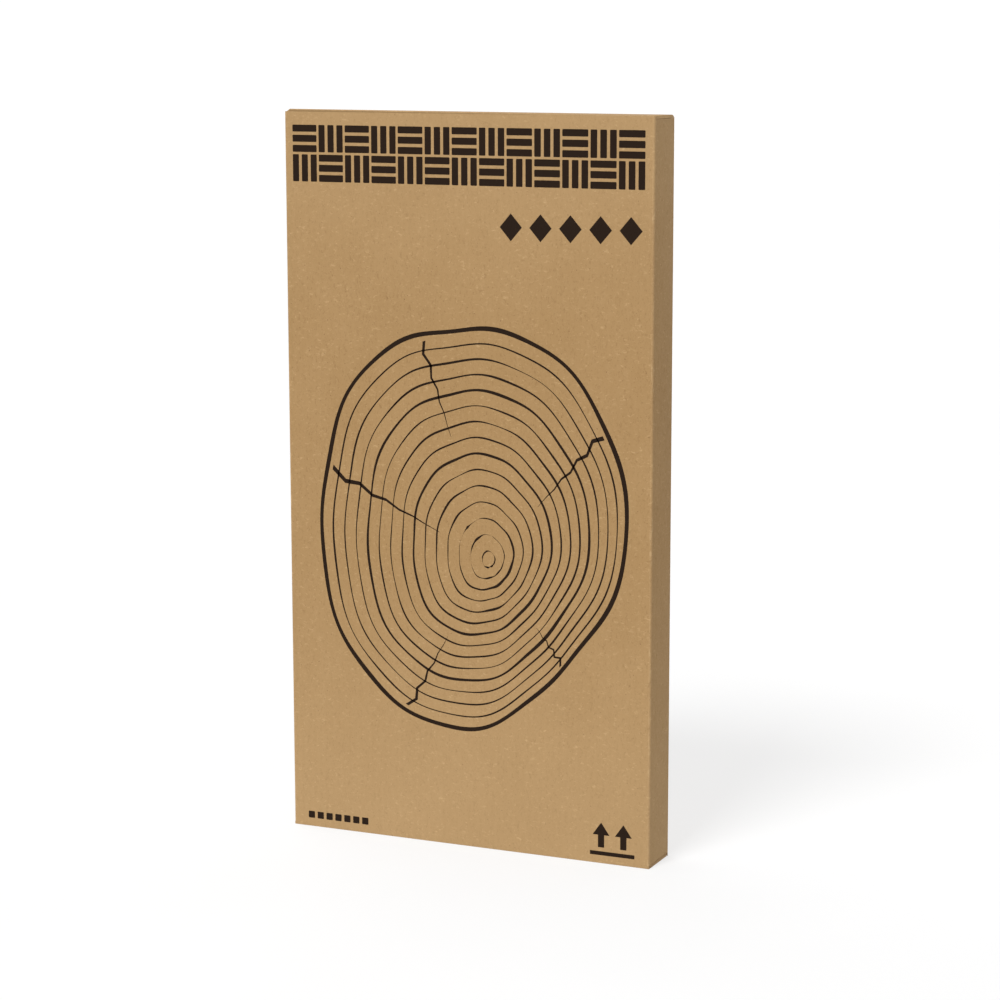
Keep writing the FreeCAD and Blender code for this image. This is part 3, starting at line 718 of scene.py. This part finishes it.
def carton_bottom():
    """The bottom: its back flap inside, then the side flaps, then the front flap outside."""
    shape = Shape()

    def layer_at(level):
        return lambda u, v, w: (u, v, level + w)

    low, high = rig.box("bottom_back_flap")
    outline = [(low.x + BOTTOM_TAPER, low.y), (high.x - BOTTOM_TAPER, low.y),
               (high.x, high.y), (low.x, high.y)]
    add_flap(shape, outline, layer_at(low.z))
    for side, wall, inward in (("left", LEFT, 1), ("right", RIGHT, -1)):
        low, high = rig.box(f"bottom_{side}_flap")
        root = wall + inward * ROOT
        tip = high.x if side == "left" else low.x
        fold = [(wall, SIDE_LOW.z + FOLD), (wall, SIDE_LOW.z), (root, SIDE_LOW.z)]
        add_board(shape, fold, inward, in_front, low.y, high.y, False, END_FOLD)
        outline = [(root, low.y), (tip, low.y + BOTTOM_TAPER), (tip, high.y - BOTTOM_TAPER), (root, high.y)]
        add_flap(shape, outline, layer_at(low.z))
    low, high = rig.box("bottom_front_flap")
    root = FRONT + ROOT
    fold = [(FRONT, SIDE_LOW.z), (FRONT, BASE), (root, BASE)]
    add_board(shape, fold, 1, in_side, low.x, high.x, False, END_FOLD)
    outline = [(low.x, root), (high.x, root), (high.x, high.y), (low.x, high.y)]
    add_flap(shape, outline, layer_at(BASE))
    nodes = ["bottom_back_flap", "bottom_left_flap", "bottom_right_flap", "bottom_front_flap"]
    board_piece("carton_bottom", shape, "carton", nodes)


CLOSURE_STOPS = (CLOSURE_LOW.x, CLOSURE_LOW.x + CORNER, CLOSURE_HIGH.x)


def sprung(x, y, z):
    """Spring a point of the closure up, most of all at its front left, and slope its right end."""
    x = min(x, CLOSURE_HIGH.x - END_SLOPE * max(0.0, z - CLOSURE_LOW.z))
    share = min(1.0, (x - CLOSURE_LOW.x) / CORNER) * (RIGHT - x) / (RIGHT - LEFT)
    return (x, y, z + SPRING * share * (BACK - y) / (BACK - CLOSURE_LOW.y))


def sprung_in_side(u, v, w):
    """A profile of the closure seen from the side, drawn out along X."""
    return sprung(w, u, v)


def closure_board():
    """The closure between its two creases."""
    shape = Shape()
    near, far = CLOSURE_LOW.y + CREASE, BACK - CREASE

    def on_top(u, v, w):
        return sprung(u, v, TOP - w)

    for left, right in zip(CLOSURE_STOPS, CLOSURE_STOPS[1:]):
        add_flap(shape, [(left, near), (right, near), (right, far), (left, far)], on_top)
    board_piece("closure_board", shape, "closure", ["top_closure"])


def tuck_board():
    """The tuck flap, with rounded free corners."""
    shape = Shape()
    crease_level = TOP - CREASE

    def behind_front(u, v, w):
        return sprung(u, TUCK_LOW.y + w, v)

    low = (TUCK_LOW.x, TUCK_LOW.z)
    high = (TUCK_HIGH.x, crease_level + TUCK_ROUND)
    outline = [(u, min(v, crease_level)) for u, v in round_rectangle(low, high, TUCK_ROUND)]
    add_flap(shape, outline, behind_front)
    board_piece("tuck_board", shape, "tuck", ["tuck_flap"])


def dust_board(side):
    """A dust flap under the closure, narrower towards its tip."""
    shape = Shape()
    low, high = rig.box(f"dust_flap_{side}")
    root = LEFT + CREASE if side == "left" else RIGHT - CREASE
    tip = high.x if side == "left" else low.x

    def under_closure(u, v, w):
        return (u, v, SIDE_HIGH.z - w)

    outline = [(root, low.y), (tip, low.y), (tip, high.y - DUST_TAPER), (root, high.y)]
    add_flap(shape, outline, under_closure)
    board_piece(f"dust_board_{side}", shape, f"dust_{side}", [f"dust_flap_{side}"])


def crease(name, bodies, place, corner, first, last, stops):
    """The board of a moving fold, which bends between two bodies.

    The corner is the outer one; first and last point out of the faces on its two sides. The stops
    are places along the fold.
    """
    corner, first, last = Vector(corner), Vector(first), Vector(last)
    start, end = corner - last * CREASE, corner - first * CREASE
    turn = first.x * last.y - first.y * last.x
    shape = Shape()
    for low, high in zip(stops, stops[1:]):
        add_board(shape, [start, corner, end], turn, place, low, high, False, END_FOLD)
    made = shape.piece(name, [OUTER, CORE, FOLD_WEAR_AND_HIGHLIGHT])
    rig.slot(made, "kraft_board")
    middle = (stops[0] + stops[-1]) / 2
    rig.blend(made, *bodies, place(*start, middle), place(*end, middle))


tube()
carton_bottom()
closure_board()
tuck_board()
dust_board("left")
dust_board("right")
crease("closure_crease", ("carton", "closure"), sprung_in_side, (BACK, TOP), (1, 0), (0, 1),
       CLOSURE_STOPS)
crease("tuck_crease", ("closure", "tuck"), sprung_in_side, (TUCK_LOW.y, TOP), (0, 1), (-1, 0),
       CLOSURE_STOPS)
dust_low, dust_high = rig.box("dust_flap_left")
dust_stops = (dust_low.y, dust_high.y)
crease("dust_crease_left", ("carton", "dust_left"), in_front, (LEFT, SIDE_HIGH.z), (-1, 0), (0, 1),
       dust_stops)
crease("dust_crease_right", ("carton", "dust_right"), in_front, (RIGHT, SIDE_HIGH.z), (1, 0), (0, 1),
       dust_stops)


# The print on the front, in millimetres from the carton's lower left corner

INK_PROUD = 0.02 * MM
INK_SUNK = 0.04 * MM
PRINT_ROUND = 0.3
PRINT_STEPS = 3

# Shares of the weave's pitch
WEAVE_BLOCK = 0.92
WEAVE_BAR = 0.235
WEAVE_BARS = 3

# Waves of a growth ring: height, waves in a turn, phase, and phase added towards the outermost ring
RING_WAVES = ((0.045, 2, 0.6, 0.0), (0.03, 3, 1.9, -1.0), (0.014, 5, 0.0, 2.4), (0.006, 11, 0.0, 5.0))
RING_STEPS = 240
RING_START = 0.6
PITH_RIGHT = 9.0
PITH_DOWN = 12.0

# Line widths of the rings, and the noise that makes them uneven
RING_LINE = 0.55
RING_UNEVEN = 0.5
LAST_RING_EXTRA = 1.0
DARK_RING_EXTRA = 0.35
DARK_RING_EVERY = 4
DARK_RING_FIRST = 2
NOISE_RADIUS = 2.2
NOISE_STEP = 1.7

# Cracks: steps along one, its wander and its width at the inner end as a share of the outer
CRACK_STEPS = 8
CRACK_WANDER = 0.02
CRACK_ZIGZAG = 3
CRACK_TIP = 0.08

# Each crack's angle, the shares of the outermost ring where it starts and ends, and its width
CRACKS = ((0.5, 0.42, 0.97, 1.6), (1.9, 0.55, 0.97, 1.2), (2.9, 0.3, 0.97, 1.8), (4.3, 0.5, 0.97, 1.3),
          (5.5, 0.62, 0.97, 1.1))

# Shares of the arrows' width, then of their height
ARROW_MIDDLES = (0.25, 0.75)
ARROW_STEM = 0.07
ARROW_HEAD = 0.19
ARROW_BAR = 0.12
ARROW_FOOT = 0.24
ARROW_NECK = 0.62


def on_front(u, v, w):
    """A point of the print; w is its height over the board."""
    return (LEFT + u * MM, FRONT - w, BASE + v * MM)


def print_plate(shape, outline):
    """One solid patch of ink."""
    add_plate(shape, outline, on_front, -INK_SUNK, INK_PROUD)


def weave_band(shape, left, low, columns, rows, pitch):
    """A basket weave: blocks of three bars, turned by turns."""
    block = WEAVE_BLOCK * pitch
    bar = WEAVE_BAR * pitch
    for column in range(columns):
        for row in range(rows):
            u = left + column * pitch
            v = low + row * pitch
            for k in range(WEAVE_BARS):
                shift = k * (block - bar) / (WEAVE_BARS - 1)
                if (column + row) % 2:
                    corners = ((u, v + shift), (u + block, v + shift + bar))
                else:
                    corners = ((u + shift, v), (u + shift + bar, v + block))
                print_plate(shape, round_rectangle(*corners, PRINT_ROUND, PRINT_STEPS))


def lozenges(shape, right, middle, count, pitch, half_width, half_height):
    """A row of lozenges that ends at the right."""
    for k in range(count):
        u = right - half_width - k * pitch
        print_plate(shape, [(u + half_width, middle), (u, middle + half_height),
                            (u - half_width, middle), (u, middle - half_height)])


def ring_point(centre, half_width, half_height, share, angle):
    """A point of a growth ring at a share of the outermost one."""
    wobble = 1.0
    for height, waves, phase, drift in RING_WAVES:
        wobble += height * math.sin(waves * angle + phase + drift * share)
    u = centre[0] + (1 - share) * PITH_RIGHT + half_width * share * wobble * math.cos(angle)
    v = centre[1] - (1 - share) * PITH_DOWN + half_height * share * wobble * math.sin(angle)
    return Vector((u, v))


def growth_rings(shape, centre, half_width, half_height, count):
    """Wobbly closed rings of uneven line width, with a heavier outermost one."""
    for k in range(count):
        share = (k + RING_START) / (count - 1 + RING_START)
        outer, inner = [], []
        for i in range(RING_STEPS):
            angle = math.tau * i / RING_STEPS
            spot = Vector((NOISE_RADIUS * math.cos(angle), NOISE_RADIUS * math.sin(angle), NOISE_STEP * k))
            weight = RING_LINE + RING_UNEVEN * noise.noise(spot)
            if k == count - 1:
                weight += LAST_RING_EXTRA
            elif k % DARK_RING_EVERY == DARK_RING_FIRST:
                weight += DARK_RING_EXTRA
            here = ring_point(centre, half_width, half_height, share, angle)
            away = (here - Vector(centre)).normalized()
            outer.append(tuple(here + away * weight / 2))
            inner.append(tuple(here - away * weight / 2))
        corners = [on_front(*p, w) for ring in (outer, inner) for w in (-INK_SUNK, INK_PROUD)
                   for p in ring]
        faces = []
        for i in range(RING_STEPS):
            n = (i + 1) % RING_STEPS
            levels = [0, RING_STEPS, 3 * RING_STEPS, 2 * RING_STEPS]
            for a, b in zip(levels, levels[1:] + levels[:1]):
                faces.append([a + i, a + n, b + n, b + i])
        shape.add(corners, faces)


def cracks(shape, centre, half_width, half_height, places):
    """Thin checks that open towards the outermost ring."""
    for angle, start, end, weight in places:
        side = Vector((-math.sin(angle), math.cos(angle)))
        left, right = [], []
        for k in range(CRACK_STEPS + 1):
            share = start + (end - start) * k / CRACK_STEPS
            wander = CRACK_WANDER * math.sin(CRACK_ZIGZAG * k)
            here = ring_point(centre, half_width, half_height, share, angle + wander)
            spread = side * weight * (CRACK_TIP + (1 - CRACK_TIP) * k / CRACK_STEPS) / 2
            left.append(tuple(here + spread))
            right.append(tuple(here - spread))
        print_plate(shape, right + left[::-1])


def dashes(shape, left, low, count, pitch, width, height):
    """A row of short dashes."""
    for k in range(count):
        u = left + k * pitch
        print_plate(shape, round_rectangle((u, low), (u + width, low + height), PRINT_ROUND, PRINT_STEPS))


def up_arrows(shape, left, low, width, height):
    """Two arrows that point up, over a bar."""
    bar = ARROW_BAR * height
    print_plate(shape, [(left, low), (left + width, low), (left + width, low + bar), (left, low + bar)])
    stem, head = ARROW_STEM * width, ARROW_HEAD * width
    foot, neck, tip = low + ARROW_FOOT * height, low + ARROW_NECK * height, low + height
    for share in ARROW_MIDDLES:
        middle = left + share * width
        print_plate(shape, [(middle - stem, foot), (middle + stem, foot), (middle + stem, neck),
                            (middle + head, neck), (middle, tip), (middle - head, neck),
                            (middle - stem, neck)])


def front_print():
    """All the ink on the front."""
    shape = Shape()
    weave_band(shape, left=3.2, low=238.2, columns=13, rows=2, pitch=10.45)
    lozenges(shape, right=137.4, middle=224.2, count=5, pitch=11.2, half_width=4.2, half_height=4.8)
    rings = {"centre": (71.0, 118.0), "half_width": 58.0, "half_height": 74.0}
    growth_rings(shape, **rings, count=15)
    cracks(shape, **rings, places=CRACKS)
    dashes(shape, left=6.0, low=3.2, count=7, pitch=3.7, width=2.6, height=2.6)
    up_arrows(shape, left=119.0, low=3.0, width=17.0, height=12.0)
    made = shape.piece("front_print", [INK])
    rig.ride(made, "carton")
    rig.slot(made, "kraft_board")


front_print()


# The organizer


MAT_ROUND = 9.7 * MM
MAT_SOFT = 0.35 * MM


def felt_mat():
    """The mat in the tray, with a soft cut edge."""
    low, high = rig.box("tray_mat")
    shape = Shape()
    rings = []
    for inset, level in ((MAT_SOFT, high.y), (0.0, high.y - MAT_SOFT),
                         (0.0, low.y + MAT_SOFT), (MAT_SOFT, low.y)):
        outline = round_rectangle((low.x + inset, low.z + inset), (high.x - inset, high.z - inset),
                                  MAT_ROUND - inset)
        rings.append([(u, level, v) for u, v in outline])
    count = len(rings[0])
    corners = [p for ring in rings for p in ring]
    faces = [list(range(count)), list(range(4 * count - 1, 3 * count - 1, -1))]
    for k in range(3):
        for i in range(count):
            n = (i + 1) % count
            faces.append([k * count + i, k * count + n, (k + 1) * count + n, (k + 1) * count + i])
    shape.add(corners, faces)
    made = shape.piece("felt_mat", [felt_material()])
    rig.ride(made, "organizer")
    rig.replaces(made, "tray_mat")
    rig.slot(made, "mat")
    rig.sheet(made, (high.x - low.x, high.z - low.z), "laid", ["bamboo_body"])


# The charging mark, in millimetres from the coil's middle
MARK_PROUD = 0.015 * MM
MARK_SUNK = 0.05 * MM
MARK_STEPS = 72
MARK_OUTER = 10.0
MARK_INNER = 9.0
BOLT = ((1.6, 6.0), (-3.2, -0.8), (-0.4, -0.8), (-1.6, -6.0), (3.2, 0.8), (0.4, 0.8))


def charging_mark():
    """A ring and a bolt burnt into the pad over the coil."""
    body_low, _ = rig.box("bamboo_body")
    coil_low, coil_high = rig.box("charging_coil")
    middle = (coil_low + coil_high) / 2
    level = body_low.y

    def on_pad(u, v, w):
        return (middle.x + u * MM, level - w, middle.z + v * MM)

    shape = Shape()
    radii = (MARK_OUTER, MARK_OUTER, MARK_INNER, MARK_INNER)
    heights = (-MARK_SUNK, MARK_PROUD, MARK_PROUD, -MARK_SUNK)
    corners = []
    for i in range(MARK_STEPS):
        angle = math.tau * i / MARK_STEPS
        for radius, height in zip(radii, heights):
            corners.append(on_pad(radius * math.cos(angle), radius * math.sin(angle), height))
    faces = []
    for i in range(MARK_STEPS):
        n = (i + 1) % MARK_STEPS
        for k in range(4):
            m = (k + 1) % 4
            faces.append([4 * i + k, 4 * i + m, 4 * n + m, 4 * n + k])
    shape.add(corners, faces)
    add_plate(shape, BOLT, on_pad, -MARK_SUNK, MARK_PROUD)
    made = shape.piece("charging_mark", [BURNT])
    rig.ride(made, "organizer")
    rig.slot(made, "bamboo")


def coat(node, material):
    """Give a CAD node its material."""
    mesh = frame["nodes"][node].data
    mesh.materials.clear()
    mesh.materials.append(material)


felt_mat()
charging_mark()
coil_low, coil_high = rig.box("charging_coil")
coat("bamboo_body", bamboo_material())
coat("charger_cover", moulded_material("cover_plastic", rgb(46, 47, 50), rgb(38, 39, 42), grain=3200,
                                       roughness=0.5))
coat("charging_coil", copper_material((coil_low + coil_high) / 2))
coat("ferrite_shield", moulded_material("ferrite", rgb(58, 56, 56), rgb(44, 43, 43), grain=1800,
                                        roughness=0.6))
coat("circuit_board", circuit_material())
coat("board_components", moulded_material("components", rgb(34, 34, 36), rgb(24, 24, 26), grain=2400,
                                          roughness=0.4))
coat("usb_socket", metal_material("socket_steel", rgb(196, 196, 198), rgb(168, 168, 171),
                                  scale=(900, 90, 900), roughness=0.3))
coat("cover_screws", metal_material("screw_steel", rgb(178, 178, 181), rgb(140, 140, 144),
                                    scale=(700, 90, 700), roughness=0.35))
coat("rubber_feet", moulded_material("rubber", rgb(40, 40, 41), rgb(30, 30, 31), grain=2800,
                                     roughness=0.75))


# The studio

# The sweep's half width, its two ends, its bend and its height, in metres
SWEEP_HALF = 9.0
SWEEP_NEAR = -9.0
SWEEP_FAR = 7.0
SWEEP_BEND = 1.5
SWEEP_TOP = 5.0
SWEEP_STEPS = 16


def studio_sweep():
    """A wide white floor that curves up into a backdrop far behind the carton."""
    line = [(SWEEP_NEAR, BASE), (SWEEP_FAR, BASE)]
    for k in range(1, SWEEP_STEPS + 1):
        angle = math.pi / 2 * k / SWEEP_STEPS
        line.append((SWEEP_FAR + SWEEP_BEND * math.sin(angle), BASE + SWEEP_BEND * (1 - math.cos(angle))))
    line.append((SWEEP_FAR + SWEEP_BEND, SWEEP_TOP))
    shape = Shape()
    corners = [(x, y, z) for y, z in line for x in (-SWEEP_HALF, SWEEP_HALF)]
    shape.add(corners, [[2 * i, 2 * i + 1, 2 * i + 3, 2 * i + 2] for i in range(len(line) - 1)])
    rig.stage(shape.piece("studio_sweep", [floor_material()]))


def far_light(name, azimuth, elevation, spread, strength):
    """A broad light from far off; its azimuth counts from the front towards the left."""
    data = bpy.data.lights.new(name, "SUN")
    data.energy = strength
    data.angle = math.radians(spread)
    made = bpy.data.objects.new(name, data)
    bpy.context.scene.collection.objects.link(made)
    made.rotation_euler = (math.radians(90 - elevation), 0.0, -math.radians(azimuth))


def white_world(strength):
    """Even white light from all round."""
    world = bpy.data.worlds.new("studio_world")
    world.use_nodes = True
    background = world.node_tree.nodes["Background"]
    background.inputs["Color"].default_value = WHITE
    background.inputs["Strength"].default_value = strength
    bpy.context.scene.world = world


# The camera, fitted to the corners of the carton in the photograph; its distances count carton heights
CAMERA_AZIMUTH = math.radians(23.832)
CAMERA_ELEVATION = math.radians(9.907)
CAMERA_DISTANCE = 3.7862
CAMERA_RIGHT = 0.0654
CAMERA_UP = -0.0351
CAMERA_LENS = 100.29
CAMERA_SHIFT = (-0.025, 0.01)
CAMERA_SENSOR = 36.0
CAMERA_NEAR = 0.01


def camera():
    """The view of the photograph."""
    tall = TOP - BASE
    level = math.cos(CAMERA_ELEVATION)
    back = Vector((math.sin(CAMERA_AZIMUTH) * level, -math.cos(CAMERA_AZIMUTH) * level,
                   math.sin(CAMERA_ELEVATION)))
    right = Vector((math.cos(CAMERA_AZIMUTH), math.sin(CAMERA_AZIMUTH), 0.0))
    up = back.cross(right)
    data = bpy.data.cameras.new("camera")
    data.lens = CAMERA_LENS
    data.sensor_width = CAMERA_SENSOR
    data.shift_x, data.shift_y = CAMERA_SHIFT
    data.clip_start = CAMERA_NEAR
    made = bpy.data.objects.new("camera", data)
    bpy.context.scene.collection.objects.link(made)
    turn = Matrix((right, up, back)).transposed().to_4x4()
    middle = Vector((0.0, 0.0, BASE + tall / 2))
    offset = CAMERA_DISTANCE * back + CAMERA_RIGHT * right + CAMERA_UP * up
    made.matrix_world = Matrix.Translation(middle + tall * offset) @ turn
    bpy.context.scene.camera = made


studio_sweep()
white_world(strength=0.36)
far_light("key", azimuth=9.0, elevation=51.0, spread=20.0, strength=2.45)
far_light("fill", azimuth=115.0, elevation=55.0, spread=50.0, strength=0.8)
camera()
bpy.context.scene.view_settings.view_transform = "Standard"

low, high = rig.bounds()
sizes = {"cad": [list(CAD_LOW), list(CAD_HIGH)], "visual": [list(low), list(high)]}
with open("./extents.json", "w") as file:
    json.dump(sizes, file)
